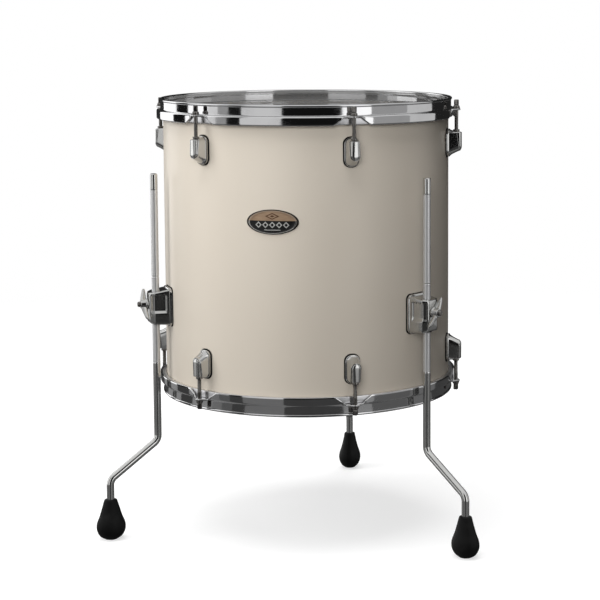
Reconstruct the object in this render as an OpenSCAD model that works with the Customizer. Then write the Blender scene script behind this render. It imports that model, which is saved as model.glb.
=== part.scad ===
// Floor tom drum: a round wooden shell with two heads, clamped by steel hoops and
// tension rods, and standing on three height-adjustable bent legs.
// Millimetres, +Z up. The origin is on the drum's axis at floor level, and the
// badge faces -Y. An azimuth is counted from -Y towards +X.

/* [Shell] */
// Outer diameter of the shell
shell_d = 404; // [340:1:460]
// Depth of the shell from bearing edge to bearing edge
shell_depth = 385; // [330:1:420]
// Thickness of the plywood wall
shell_wall = 7; // [5:0.5:9]
// Height of the playing hoop's rim above the floor
rim_height = 612; // [590:1:640]

/* [Heads and hoops] */
// How far each hoop stands proud of the bearing edge
hoop_rise = 16; // [12:0.5:20]
// Whole height of a hoop
hoop_h = 27.4; // [24:0.2:32]
// Thickness of the hoop's steel
hoop_wall = 2.3; // [1.6:0.1:3]
// Height of the head's own ring
flesh_h = 9.7; // [8:0.1:12]
// Thickness of the head's film
film_t = 0.4; // [0.3:0.1:1]

/* [Tension] */
// Number of lugs at each end of the shell
lug_count = 6; // [6:1:6]
// Azimuth of the first lug, in degrees
lug_start = 30; // [20:1:40]
// Distance of a lug's middle from the shell's middle
lug_off = 145.5; // [120:0.5:150]
// Radius at which the tension rods stand
rod_ring_r = 215.5; // [214:0.5:218]
// Diameter of a tension rod
rod_d = 5.5; // [5:0.1:6]

/* [Legs] */
// Diameter of a leg's rod
leg_d = 10.5; // [9:0.5:11]
// Radius at which the legs pass through their brackets
leg_ring_r = 221.5; // [221:0.5:224]
// How far a foot stands out from its leg's upper rod
leg_step = 71.7; // [50:0.1:90]
// Height of a leg's upper end
leg_top = 510; // [470:1:540]
// Height of the upper bend and of the lower bend
leg_bends = [133.4, 84.1]; // [75:0.1:150]
// Turn of the left, right and rear leg about its own upper rod, in degrees
leg_turns = [8.5, -4, 0]; // [-20:0.5:20]
// Height of the middle of the leg brackets
bracket_z = 323.6; // [300:1:350]

/* [Hidden] */
$fn = 96;
SIDES = ["left", "right", "rear"];
leg_az = [-60, 60, 180];

// heights along the drum's axis
shell_r = shell_d / 2;
inner_r = shell_r - shell_wall;
shell_top = rim_height - hoop_rise;
shell_mid = shell_top - shell_depth / 2;
shell_bottom = shell_top - shell_depth;
step_z = rim_height - 15;          // top of the hoop's step and of its ears
flesh_top = step_z - hoop_wall;

// bearing edges
edge_cut = 4.5;                    // 45 degree cut on the inside
edge_round = 1.7;                  // small bevel on the outside
edge_flat = 0.8;

// hoops
rim_in = shell_r + 1.5;            // inside of the hoop's upright wall
rim_bead_r = 2;                    // rolled lip
skirt_in = shell_r + 6.8;          // inside of the lower skirt
ear_half = 11;                     // half the width of an ear
ear_end_r = 5.8;
ear_hole_r = 3.4;
ear_cut = [14, 27];                // half width of the skirt's gap, at the ear and below

// heads
flesh_in = shell_r + 1;
flesh_out = shell_r + 6.3;

// lugs, with u counted from the lug's middle towards its hoop
pad_t = 1.5;                       // rubber under the lugs
seat_r = shell_r + pad_t;
lug_base = [20, 39];
lug_base_t = 3.5;
lug_nose = [15, 16, -10.7];        // width, upper end, lower end
lug_nose_r = 223;
lug_corner = 8.5;
nut_r = 4.9;
nut_floor = 2;                     // lower end of the swivel nut
nut_proud = 3;
rod_tip = -6;                      // lower end of the rod
screw_off = 12.5;
screw_r = 2.45;
washer_t = 1.4;

// legs and brackets
leg_r = leg_d / 2;
fit = 0.05;                        // running clearance of a bearing
slack = 0.3;                       // plain clearance between parts
bend_r = 14;
bend_lap = 3;                      // degrees that a bend runs into each straight
bend_skin = 0.05;                  // how much thinner the bend is than the straights
bracket_base = [38, 54];
bracket_pad_t = 1.2;
bracket_seat_r = shell_r + bracket_pad_t;
bracket_half = [18, 15.75, 9];     // half widths: at the shell, where the front tapers, at the face
bracket_taper_r = 226;
bracket_face_r = 232.5;
pocket_r = 230;
pocket_half = 9.5;
pocket_z = [-4, 12];
eye_z = 4;
eye_h = 12;
eye_r = 8.3;
sleeve_r = 7;
sleeve_z = [-24, pocket_z[0]];
shank_r = 4;
shank_end = 247;
wing_turns = [35, -35, 30];        // at rest, in degrees about the shank
wing_t = 3.8;
bracket_screw_z = 20;
foot_h = 56.5;
foot_grip = 14;                    // lower end of the leg inside the foot

bend_a = atan2(leg_step, leg_bends[0] - leg_bends[1]);
bend_t = bend_r * tan(bend_a / 2);

// --- shared shapes -------------------------------------------------------

// Turns a piece drawn outwards along +X to an azimuth
module around(azimuth) rotate([0, 0, azimuth - 90]) children();

module each_lug() for (n = [1 : lug_count]) around(lug_azimuth(n)) children();

function lug_azimuth(n) = lug_start + 360 / lug_count * (n - 1);

// Turns a piece drawn at the batter end over to the resonant end
module flipped() translate([0, 0, 2 * shell_mid]) mirror([0, 0, 1]) children();

module at_both_ends() {
    children();
    flipped() children();
}

module round_rect(w, h, r) {
    square([w, h - 2 * r], center = true);
    square([w - 2 * r, h], center = true);
    for (x = [-1, 1], y = [-1, 1])
        translate([x * (w / 2 - r), y * (h / 2 - r)]) circle(r);
}

// A flat outline in tangent and height, carried outwards from radius r0 to r1
module outwards(r0, r1) translate([r0, 0, 0]) rotate([90, 0, 90]) linear_extrude(r1 - r0) children();

// A flat outline in radius and height, carried along the tangent
module sideways(w) translate([0, w / 2, 0]) rotate([90, 0, 0]) linear_extrude(w) children();

module ring(r_out, r_in, z0, z1) translate([0, 0, z0]) difference() {
    cylinder(r = r_out, h = z1 - z0);
    translate([0, 0, -1]) cylinder(r = r_in, h = z1 - z0 + 2);
}

module radial_hole(r, r0, r1, z) translate([r0, 0, z]) rotate([0, 90, 0]) cylinder(r = r, h = r1 - r0);

// --- shell ---------------------------------------------------------------

vent_az = -120;
vent_r = 7;

module shell() color("#d8cfbf") difference() {
    rotate_extrude($fn = 180) polygon([
        [inner_r, shell_bottom + edge_cut], [inner_r + edge_cut, shell_bottom],
        [inner_r + edge_cut + edge_flat, shell_bottom], [shell_r, shell_bottom + edge_round],
        [shell_r, shell_top - edge_round], [inner_r + edge_cut + edge_flat, shell_top],
        [inner_r + edge_cut, shell_top], [inner_r, shell_top - edge_cut]]);
    each_lug() at_both_ends() for (s = [-1, 1])
        radial_hole(screw_r + slack, inner_r - 5, shell_r + 5, shell_mid + lug_off + s * screw_off);
    for (a = leg_az) around(a) for (s = [-1, 1])
        radial_hole(3 + slack, inner_r - 5, shell_r + 5, bracket_z + s * bracket_screw_z);
    around(vent_az) radial_hole(vent_r + slack, inner_r - 5, shell_r + 5, shell_mid);
}

module air_vent() color("silver") around(vent_az) difference() {
    union() {
        radial_hole(vent_r, inner_r - 5, shell_r + 1, shell_mid);
        radial_hole(11, shell_r + 0.2, shell_r + 2, shell_mid);
    }
    radial_hole(5, inner_r - 10, shell_r + 10, shell_mid);
}

module air_vent_nut() color("silver") around(vent_az) difference() {
    radial_hole(10.5, inner_r - 4, inner_r - 0.5, shell_mid);
    radial_hole(vent_r + fit, inner_r - 10, shell_r, shell_mid);
}

badge_size = [71, 33.5];
badge_z = 457;

module badge() color("#5a4632") intersection() {
    around(0) outwards(shell_r - 10, shell_r + 10) translate([0, badge_z]) polygon(
        [for (a = [0 : 7.5 : 359]) [badge_size.x / 2 * cos(a), badge_size.y / 2 * sin(a)]]);
    ring(shell_r + 1.6, shell_r, badge_z - badge_size.y, badge_z + badge_size.y);
}

// --- heads and hoops -----------------------------------------------------

// The film lies on the bearing edge, bends over it and ends in the head's own ring
module head_film() rotate_extrude($fn = 180) {
    edge = inner_r + edge_cut + edge_flat;
    polygon([[0, shell_top], [edge, shell_top], [flesh_in, flesh_top - film_t], [flesh_in, flesh_top],
        [edge + 0.2, shell_top + film_t], [0, shell_top + film_t]]);
}

module flesh_hoop() rotate_extrude($fn = 180)
    translate([flesh_in, flesh_top - flesh_h]) square([flesh_out - flesh_in, flesh_h]);

module batter_head_film() color("#dcdcdc") head_film();
module resonant_head_film() color("#e6e6e6") flipped() head_film();
module batter_flesh_hoop() color("silver") flesh_hoop();
module resonant_flesh_hoop() color("silver") flipped() flesh_hoop();

// Triple-flanged hoop: rolled lip, upright wall, step, skirt and six flat ears
module steel_hoop() difference() {
    union() {
        rotate_extrude($fn = 180) {
            translate([rim_in, flesh_top]) square([hoop_wall, rim_height - rim_bead_r - flesh_top]);
            translate([rim_in + rim_bead_r - 0.4, rim_height - rim_bead_r]) circle(rim_bead_r, $fn = 32);
            translate([rim_in, flesh_top]) square([skirt_in + hoop_wall - rim_in, hoop_wall]);
        }
        difference() {
            ring(skirt_in + hoop_wall, skirt_in, rim_height - hoop_h, flesh_top + 0.5, $fn = 180);
            each_lug() outwards(skirt_in - 10, skirt_in + 10) polygon([
                [-ear_cut[0], step_z - 2], [ear_cut[0], step_z - 2],
                [ear_cut[1], rim_height - hoop_h - 1], [-ear_cut[1], rim_height - hoop_h - 1]]);
        }
        each_lug() translate([0, 0, flesh_top]) linear_extrude(hoop_wall) {
            polygon([[skirt_in, -ear_half - 3], [skirt_in, ear_half + 3], [skirt_in + 4, ear_half],
                [rod_ring_r + 2.2, ear_end_r - 0.6], [rod_ring_r + 2.2, 0.6 - ear_end_r],
                [skirt_in + 4, -ear_half]]);
            translate([rod_ring_r, 0]) circle(ear_end_r);
        }
    }
    each_lug() translate([rod_ring_r, 0, flesh_top - 1]) cylinder(r = ear_hole_r, h = hoop_wall + 2);
}

module batter_hoop() color("#c8c8cc") steel_hoop();
module resonant_hoop() color("#c8c8cc") flipped() steel_hoop();

// --- lugs and tension rods -----------------------------------------------

// One lug casting at the batter end, with holes for its rod, nut and screws
module lug_casting() translate([0, 0, shell_mid + lug_off]) difference() {
    intersection() {
        sideways(lug_base.x) polygon([
            [shell_r, -lug_base.y / 2], [seat_r + lug_base_t, -lug_base.y / 2],
            [lug_nose_r, lug_nose[2]], [lug_nose_r, lug_nose[1] - 1.2], [lug_nose_r - 1.2, lug_nose[1]],
            [seat_r + lug_base_t, lug_base.y / 2], [shell_r, lug_base.y / 2]]);
        outwards(shell_r - 5, lug_nose_r + 5) round_rect(lug_base.x, lug_base.y, lug_corner);
        translate([0, 0, -lug_base.y]) linear_extrude(2 * lug_base.y) polygon([
            [shell_r - 5, -lug_base.x / 2], [seat_r + lug_base_t, -lug_base.x / 2],
            [lug_nose_r, -lug_nose[0] / 2], [lug_nose_r, lug_nose[0] / 2],
            [seat_r + lug_base_t, lug_base.x / 2], [shell_r - 5, lug_base.x / 2]]);
    }
    translate([0, 0, -lug_base.y]) cylinder(r = seat_r, h = 2 * lug_base.y);
    translate([rod_ring_r, 0, rod_tip - 1]) cylinder(r = rod_d / 2 + slack, h = 40);
    translate([rod_ring_r, 0, nut_floor]) cylinder(r = nut_r + fit, h = 40);
    for (s = [-1, 1]) radial_hole(screw_r + fit, shell_r, seat_r + 6.5, s * screw_off);
}

module lug_top(n) color("#cfcfd2") around(lug_azimuth(n)) lug_casting();
module lug_bottom(n) color("#cfcfd2") flipped() around(lug_azimuth(n)) lug_casting();

module lug_gaskets() color("#161616") each_lug() at_both_ends()
    translate([0, 0, shell_mid + lug_off]) difference() {
        intersection() {
            outwards(shell_r - 8, shell_r + 8)
                round_rect(lug_base.x + 2.4, lug_base.y + 2.4, lug_corner + 1.2);
            ring(seat_r, shell_r, -lug_base.y, lug_base.y);
        }
        for (s = [-1, 1]) radial_hole(screw_r + slack, shell_r - 5, seat_r + 5, s * screw_off);
    }

module swivel_nuts() color("#b8b8b8") each_lug() at_both_ends()
    translate([rod_ring_r, 0, shell_mid + lug_off]) difference() {
        union() {
            translate([0, 0, nut_floor]) cylinder(r = nut_r, h = lug_nose[1] - nut_floor - 1);
            translate([0, 0, nut_floor]) cylinder(r = nut_r - 0.9, h = lug_nose[1] - nut_floor + nut_proud);
        }
        cylinder(r = rod_d / 2 + fit, h = 40);
    }

module lug_screws() color("#9a9a9a") each_lug() at_both_ends() for (s = [-1, 1]) {
    z = shell_mid + lug_off + s * screw_off;
    radial_hole(screw_r, inner_r - 1, seat_r + 6, z);
    radial_hole(4.2, inner_r - 4, inner_r - 1, z);
    radial_hole(6, inner_r - 1.2, inner_r - 0.3, z);
}

module rod_washers() color("#c0c0c0") each_lug() at_both_ends()
    translate([rod_ring_r, 0, step_z]) difference() {
        cylinder(r = 5.4, h = washer_t);
        translate([0, 0, -1]) cylinder(r = rod_d / 2 + slack, h = washer_t + 2);
    }

// Tension rod with a square key head on a round collar
module tension_rod() {
    z0 = shell_mid + lug_off + rod_tip;
    head_z = step_z + washer_t;
    translate([rod_ring_r, 0, 0]) {
        translate([0, 0, z0]) cylinder(r = rod_d / 2, h = head_z - z0 + 1);
        translate([0, 0, head_z]) cylinder(r1 = 4.7, r2 = 3.9, h = 3);
        translate([-3, -3, head_z + 2.5]) cube([6, 6, 8.5]);
    }
}

module tension_rod_top(n) color("#8f8f92") around(lug_azimuth(n)) tension_rod();
module tension_rod_bottom(n) color("#8f8f92") flipped() around(lug_azimuth(n)) tension_rod();

// --- leg brackets --------------------------------------------------------

module at_bracket(i) around(leg_az[i]) translate([0, 0, bracket_z]) children();

// Cast bracket: a curved base flange and a block with drafted sides. A pocket, open towards
// the shell, holds the eye bolt.
module leg_bracket(i) color("#c9c9cb") at_bracket(i) difference() {
    union() {
        intersection() {
            outwards(shell_r - 8, shell_r + 8) round_rect(bracket_base.x, bracket_base.y, 7);
            ring(bracket_seat_r + 4, bracket_seat_r - 1, -40, 40);
        }
        intersection() {
            sideways(2 * bracket_half[0]) polygon([
                [shell_r - 2, -25], [bracket_seat_r + 3, -25], [bracket_taper_r, -23.5],
                [bracket_face_r - 1.8, -21.7], [bracket_face_r, -17.5], [bracket_face_r, 19],
                [bracket_face_r - 2, 21], [bracket_seat_r + 3, 25], [shell_r - 2, 25]]);
            translate([0, 0, -30]) linear_extrude(60) polygon([
                [shell_r - 2, -bracket_half[0]], [bracket_taper_r, -bracket_half[1]],
                [bracket_face_r, -bracket_half[2]], [bracket_face_r, bracket_half[2]],
                [bracket_taper_r, bracket_half[1]], [shell_r - 2, bracket_half[0]]]);
        }
    }
    translate([0, 0, -40]) cylinder(r = bracket_seat_r, h = 80, $fn = 180);
    translate([shell_r, -pocket_half, pocket_z[0]])
        cube([pocket_r - shell_r, 2 * pocket_half, pocket_z[1] - pocket_z[0]]);
    translate([leg_ring_r, 0, -40]) cylinder(r = sleeve_r + fit, h = 40);
    translate([leg_ring_r, 0, 0]) cylinder(r = leg_r + slack, h = 40);
    radial_hole(shank_r + slack, leg_ring_r, bracket_face_r + 5, eye_z);
    for (s = [-1, 1]) radial_hole(3 + fit, shell_r - 5, 209, s * bracket_screw_z);
}

module leg_eye(i) color("#a8a8aa") at_bracket(i) difference() {
    union() {
        translate([leg_ring_r, 0, eye_z - eye_h / 2]) cylinder(r = eye_r, h = eye_h);
        radial_hole(shank_r, leg_ring_r, shank_end, eye_z);
    }
    translate([leg_ring_r, 0, eye_z - eye_h]) cylinder(r = leg_r + slack, h = 2 * eye_h);
}

module leg_sleeve(i) color("#222222") at_bracket(i) translate([leg_ring_r, 0, sleeve_z[0]]) difference() {
    cylinder(r = sleeve_r, h = sleeve_z[1] - sleeve_z[0] - 0.3);
    translate([0, 0, -1]) cylinder(r = leg_r + fit, h = 40);
}

// Wing nut: a hub on the eye bolt's shank, with two lobes that taper towards their tips
module clamp_wing(i) color("#d0d0d2") at_bracket(i) translate([0, 0, eye_z]) difference() {
    rotate([wing_turns[i], 0, 0]) union() {
        radial_hole(7.4, bracket_face_r + 0.4, bracket_face_r + 3.5, 0);
        radial_hole(6.4, bracket_face_r + 0.4, bracket_face_r + 11, 0);
        for (s = [-1, 1]) mirror([0, 0, s < 0 ? 1 : 0]) sideways(wing_t) polygon([
            [bracket_face_r + 1.4, 4.5], [bracket_face_r + 1.2, 21], [bracket_face_r + 2.4, 23.6],
            [bracket_face_r + 5, 23.2], [bracket_face_r + 6.6, 19.5], [bracket_face_r + 10.6, 4.5]]);
    }
    radial_hole(shank_r + fit, bracket_face_r - 5, shank_end + 10, 0);
}

module bracket_gaskets() color("#161616") for (a = leg_az) around(a) translate([0, 0, bracket_z]) difference() {
    intersection() {
        outwards(shell_r - 8, shell_r + 8) round_rect(bracket_base.x + 1.6, bracket_base.y + 1.6, 7.8);
        ring(bracket_seat_r, shell_r, -40, 40);
    }
    for (s = [-1, 1]) radial_hole(3 + slack, shell_r - 5, shell_r + 5, s * bracket_screw_z);
}

module bracket_screws() color("#9a9a9a") for (a = leg_az) around(a) for (s = [-1, 1]) {
    z = bracket_z + s * bracket_screw_z;
    radial_hole(3, inner_r - 1.2, 208.5, z);
    radial_hole(5.2, inner_r - 5, inner_r - 1.2, z);
    radial_hole(8, inner_r - 1.8, inner_r - 0.4, z);
}

// --- legs ----------------------------------------------------------------

// Places a piece of leg i, drawn with its upper rod on the Z axis and its foot along +X
module at_leg(i) around(leg_az[i]) translate([leg_ring_r, 0, 0]) rotate([0, 0, leg_turns[i]]) children();

// The bends run a little way into the straight lengths, just under their surface
module bend(x, z, from_a) translate([x, 0, z]) rotate([90, 0, 0]) rotate([0, 0, from_a - bend_lap])
    rotate_extrude(angle = bend_a + 2 * bend_lap) translate([bend_r, 0]) circle(leg_r - bend_skin, $fn = 48);

module leg(i) color("#b4b4b6") at_leg(i) {
    upper_end = leg_bends[0] + bend_t;
    lower_start = leg_bends[1] - bend_t;
    slant = norm([leg_step, leg_bends[0] - leg_bends[1]]) - 2 * bend_t;
    translate([0, 0, upper_end]) cylinder(r = leg_r, h = leg_top - 1 - upper_end);
    translate([0, 0, leg_top - 1]) cylinder(r1 = leg_r, r2 = leg_r - 1, h = 1);
    bend(bend_r, upper_end, 180);
    translate([bend_t * sin(bend_a), 0, leg_bends[0] - bend_t * cos(bend_a)])
        rotate([0, 180 - bend_a, 0]) cylinder(r = leg_r, h = slant);
    bend(leg_step - bend_r, lower_start, 0);
    translate([leg_step, 0, foot_grip]) cylinder(r = leg_r, h = lower_start - foot_grip);
}

// Pear-shaped rubber foot, pushed onto the leg's end
module foot(i) color("#111111") at_leg(i) translate([leg_step, 0, 0]) rotate_extrude() polygon([
    [0, 0], [8, 0], [14.2, 4.5], [18.2, 11], [19.3, 17.5], [18.2, 24.5], [14.6, 32.5], [12, 42],
    [8.8, 52.5], [7.4, foot_h], [leg_r + fit, foot_h], [leg_r + fit, foot_grip], [0, foot_grip]]);

shell();
air_vent();
air_vent_nut();
badge();
batter_head_film();
batter_flesh_hoop();
resonant_head_film();
resonant_flesh_hoop();
batter_hoop();
resonant_hoop();
lug_gaskets();
swivel_nuts();
lug_screws();
rod_washers();
bracket_gaskets();
bracket_screws();
for (n = [1 : lug_count]) {
    lug_top(n);
    lug_bottom(n);
    tension_rod_top(n);
    tension_rod_bottom(n);
}
for (i = [0 : len(SIDES) - 1]) {
    leg_bracket(i);
    leg_eye(i);
    leg_sleeve(i);
    clamp_wing(i);
    leg(i);
    foot(i);
}
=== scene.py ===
import math

import bmesh
import bpy
import numpy as np
from mathutils import Matrix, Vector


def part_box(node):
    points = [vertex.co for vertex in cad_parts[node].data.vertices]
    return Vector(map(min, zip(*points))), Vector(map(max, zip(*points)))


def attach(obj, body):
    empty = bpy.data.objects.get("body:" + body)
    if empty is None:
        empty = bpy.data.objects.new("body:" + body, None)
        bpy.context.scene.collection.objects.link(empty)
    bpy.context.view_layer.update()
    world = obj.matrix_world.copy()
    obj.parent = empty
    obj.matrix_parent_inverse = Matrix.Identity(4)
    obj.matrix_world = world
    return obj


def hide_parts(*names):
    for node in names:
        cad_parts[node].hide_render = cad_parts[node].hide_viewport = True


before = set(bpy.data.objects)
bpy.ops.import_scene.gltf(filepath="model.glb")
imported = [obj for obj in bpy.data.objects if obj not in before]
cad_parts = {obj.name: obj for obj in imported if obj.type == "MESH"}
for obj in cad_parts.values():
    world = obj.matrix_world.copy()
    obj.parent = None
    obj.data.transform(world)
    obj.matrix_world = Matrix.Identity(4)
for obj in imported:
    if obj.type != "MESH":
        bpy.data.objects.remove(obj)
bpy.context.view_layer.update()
pi = math.pi
mm = 0.001  # shapes are worked out in millimetres and stored in metres
sides = ["left", "right", "rear"]
scene = bpy.context.scene


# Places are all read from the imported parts: here a part's lowest corner, highest corner
# and middle, in millimetres.
def spot(node):
    lo, hi = (np.array(corner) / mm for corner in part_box(node))
    return lo, hi, (lo + hi) / 2


# azimuth of a point from -Y towards +X, in degrees, and its distance from the drum's axis
def around(point):
    return math.degrees(math.atan2(point[0], -point[1])), math.hypot(point[0], point[1])


# local (outwards, tangent, height) turned about the drum's axis to an azimuth
def turned(points, azimuth):
    a = math.radians(azimuth - 90)
    u, v, z = np.moveaxis(np.asarray(points, float), -1, 0)
    return np.stack([u * math.cos(a) - v * math.sin(a), u * math.sin(a) + v * math.cos(a), z], -1)


shellLow, shellHigh, shellMiddle = spot("shell")
shellRadius = shellHigh[0]
rimHeight = spot("batter_hoop")[1][2]


# mirrors a shape made for the batter end over to the resonant end
def flipped(points):
    return np.asarray(points) * [1, 1, -1] + [0, 0, 2 * shellMiddle[2]]


# A grid of points is a surface of two parameters. wrapRows and wrapColumns join its last
# row or column back to the first.
def gridFaces(rows, columns, wrapRows, wrapColumns):
    i = np.arange(rows if wrapRows else rows - 1)
    j = np.arange(columns if wrapColumns else columns - 1)
    i, j = np.meshgrid(i, j, indexing="ij")
    k, l = (i + 1) % rows, (j + 1) % columns
    quads = np.stack([i * columns + j, i * columns + l, k * columns + l, k * columns + j], -1)
    return quads.reshape(-1, 4)


# One object from several grids, each given as (points, wrapRows, wrapColumns). Points that
# fall together at poles are merged, and the closed skins are made to face outwards.
def makePiece(name, grids, materials, body, replaced=(), sharp=35, pick=None):
    points, faces, start = [], [], 0
    for grid, wrapRows, wrapColumns in grids:
        grid = np.asarray(grid, float)
        points.append(grid.reshape(-1, 3))
        faces.append(gridFaces(grid.shape[0], grid.shape[1], wrapRows, wrapColumns) + start)
        start += grid.shape[0] * grid.shape[1]
    mesh = bpy.data.meshes.new(name)
    mesh.from_pydata((np.concatenate(points) * mm).tolist(), [], np.concatenate(faces).tolist())
    work = bmesh.new()
    work.from_mesh(mesh)
    bmesh.ops.remove_doubles(work, verts=work.verts, dist=2e-6)
    bmesh.ops.dissolve_degenerate(work, edges=work.edges, dist=1e-6)
    bmesh.ops.recalc_face_normals(work, faces=work.faces)
    work.to_mesh(mesh)
    work.free()
    mesh.shade_smooth()
    mesh.set_sharp_from_angle(angle=math.radians(sharp))
    for material in materials if isinstance(materials, list) else [materials]:
        mesh.materials.append(material)
    if pick is not None:  # which material each face takes, from its middle
        middles = np.zeros(len(mesh.polygons) * 3)
        mesh.polygons.foreach_get("center", middles)
        chosen = pick(middles.reshape(-1, 3) / mm).astype(np.int32)
        mesh.polygons.foreach_set("material_index", chosen)
    piece = bpy.data.objects.new(name, mesh)
    scene.collection.objects.link(piece)
    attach(piece, body)
    if replaced:
        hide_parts(*replaced)


# Rounds the corners of an outline: each corner is a parabola between two points that lie
# size away from it along its sides, never past the middle of a side.
def soften(points, size, steps=6, closed=True):
    p = np.asarray(points, float)
    back, ahead = np.roll(p, 1, -2), np.roll(p, -1, -2)
    toBack, toAhead = back - p, ahead - p
    lengthBack = np.linalg.norm(toBack, axis=-1, keepdims=True)
    lengthAhead = np.linalg.norm(toAhead, axis=-1, keepdims=True)
    size = np.broadcast_to(np.asarray(size, float)[..., None], lengthBack.shape)
    a = p + toBack / np.maximum(lengthBack, 1e-9) * np.minimum(size, 0.49 * lengthBack)
    b = p + toAhead / np.maximum(lengthAhead, 1e-9) * np.minimum(size, 0.49 * lengthAhead)
    if not closed:
        a[..., 0, :], b[..., 0, :] = p[..., 0, :], p[..., 0, :]
        a[..., -1, :], b[..., -1, :] = p[..., -1, :], p[..., -1, :]
    s = np.linspace(0, 1, steps)[:, None]
    a, p, b = a[..., None, :], p[..., None, :], b[..., None, :]
    curve = (1 - s) ** 2 * a + 2 * s * (1 - s) * p + s ** 2 * b
    return curve.reshape(*curve.shape[:-3], -1, 2)


# A smooth curve through points: Catmull-Rom, steps samples on each stretch
def through(points, steps=8):
    p = np.asarray(points, float)
    p = np.concatenate([2 * p[:1] - p[1:2], p, 2 * p[-1:] - p[-2:-1]])
    a, b, c, d = p[:-3, None], p[1:-2, None], p[2:-1, None], p[3:, None]
    s = np.arange(steps)[None, :, None] / steps
    square, cube = 2 * a - 5 * b + 4 * c - d, 3 * b - a - 3 * c + d
    curve = 0.5 * (2 * b + (c - a) * s + square * s ** 2 + cube * s ** 3)
    return np.concatenate([curve.reshape(-1, p.shape[1]), p[-2:-1]])


# A profile of (radius, height) turned about an upright axis that stands at (x, 0). The
# radius may also be a whole array, one row for each height and one column for each angle.
def lathe(radius, height, columns=48, x=0.0, turn=0.0):
    angle = np.arange(columns) / columns * 2 * pi + turn
    radius = np.asarray(radius, float)
    radius = radius[:, None] if radius.ndim == 1 else radius
    height = np.broadcast_to(np.asarray(height, float)[:, None], (len(height), columns))
    return np.stack([x + radius * np.cos(angle), radius * np.sin(angle), height], -1)


# A lathe shape laid down so that its axis points outwards, at height z
def laid(points, z):
    p = np.asarray(points)
    return np.stack([p[..., 2], p[..., 0], z + p[..., 1]], -1)


# 0 below low, 1 above high, and a smooth step between
def ease(x, low, high):
    t = np.clip((x - low) / (high - low), 0, 1)
    return t * t * (3 - 2 * t)


# A rounded outline in (tangent, height): straight sides and four quarter-round corners,
# each with the same number of points, so that two such outlines match point by point.
def roundedOutline(width, top, bottom, topRound, bottomRound, corner=9, side=5):
    a = np.linspace(0, pi / 2, corner)
    centres = [(width / 2 - topRound, top - topRound, topRound, 0),
               (topRound - width / 2, top - topRound, topRound, 1),
               (bottomRound - width / 2, bottom + bottomRound, bottomRound, 2),
               (width / 2 - bottomRound, bottom + bottomRound, bottomRound, 3)]
    arcs = [np.stack([x + r * np.cos(a + q * pi / 2), z + r * np.sin(a + q * pi / 2)], -1)
            for x, z, r, q in centres]
    parts = []
    for q in range(4):
        start, end = arcs[q][-1], arcs[(q + 1) % 4][0]
        s = np.linspace(0, 1, side + 2)[1:-1, None]
        parts += [arcs[q], start + (end - start) * s]
    return np.concatenate(parts)


# A socket that takes part in sums: each operator adds one Math node.
class Wire:
    def __init__(self, tree, socket=None):
        self.tree, self.socket = tree, socket

    # adds a node: its settings first, then the values or links of its sockets
    def node(self, kind, settings=None, sockets=None, out=0):
        made = self.tree.nodes.new("ShaderNode" + kind)
        for key, value in (settings or {}).items():
            if key == "stops":
                ramp = made.color_ramp
                while len(ramp.elements) < len(value):
                    ramp.elements.new(0.5)
                for element, (at, colour) in zip(ramp.elements, value):
                    element.position, element.color = at, (*colour, 1)
            elif key == "interpolation":
                made.color_ramp.interpolation = value
            else:
                setattr(made, key, value)
        for key, value in (sockets or {}).items():
            if isinstance(value, Wire):
                self.tree.links.new(value.socket, made.inputs[key])
            else:
                made.inputs[key].default_value = value
        return Wire(self.tree, made.outputs[out])

    def maths(self, operation, first, second=0.0):
        return self.node("Math", {"operation": operation}, {0: first, 1: second})

    def __add__(self, other):
        return self.maths("ADD", self, other)

    def __radd__(self, other):
        return self.maths("ADD", other, self)

    def __sub__(self, other):
        return self.maths("SUBTRACT", self, other)

    def __rsub__(self, other):
        return self.maths("SUBTRACT", other, self)

    def __mul__(self, other):
        return self.maths("MULTIPLY", self, other)

    def __rmul__(self, other):
        return self.maths("MULTIPLY", other, self)

    def __truediv__(self, other):
        return self.maths("DIVIDE", self, other)

    def __pow__(self, other):
        return self.maths("POWER", self, other)

    def size(self):
        return self.maths("ABSOLUTE", self)

    def fraction(self):
        return self.maths("FRACT", self)

    # the x, y and z of a vector
    def axes(self):
        parts = self.node("SeparateXYZ", {}, {"Vector": self})
        return [Wire(self.tree, output) for output in parts.socket.node.outputs]

    # 0 below low, 1 above high, smooth between
    def step(self, low, high):
        return self.node("MapRange", {"interpolation_type": "SMOOTHSTEP"},
                         {"Value": self, "From Min": low, "From Max": high})

    # cloudy noise of a given size in metres, from 0 to 1
    def noise(self, size, detail=3.0, stretch=(1, 1, 1)):
        placed = self.node("Mapping", {}, {"Vector": self, "Scale": tuple(s / size for s in stretch)})
        return self.node("TexNoise", {}, {"Vector": placed, "Scale": 1.0, "Detail": detail})

    # one colour where the mask is 0 and another where it is 1
    def blend(self, first, second):
        first, second = ((*c, 1) if isinstance(c, tuple) else c for c in (first, second))
        return self.node("Mix", {"data_type": "RGBA"}, {0: self, 6: first, 7: second}, out=2)


# A material with one Principled shader. fixed holds the numbers that are the same all
# over, and paint(place) returns what changes over the surface, with an optional "height"
# in metres that becomes a bump.
def makeMaterial(name, fixed, paint=None):
    material = bpy.data.materials.new(name)
    material.use_nodes = True
    tree = material.node_tree
    shader = tree.nodes["Principled BSDF"]
    for key, value in fixed.items():
        shader.inputs[key].default_value = (*value, 1) if isinstance(value, tuple) else value
    if paint:
        place = Wire(tree).node("TexCoord", out="Object")
        for key, value in paint(place).items():
            if key == "height":
                bump = place.node("Bump", {}, {"Height": value, "Distance": 1.0, "Strength": 1.0})
                tree.links.new(bump.socket, shader.inputs["Normal"])
            else:
                tree.links.new(value.socket, shader.inputs[key])
    return material


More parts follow.
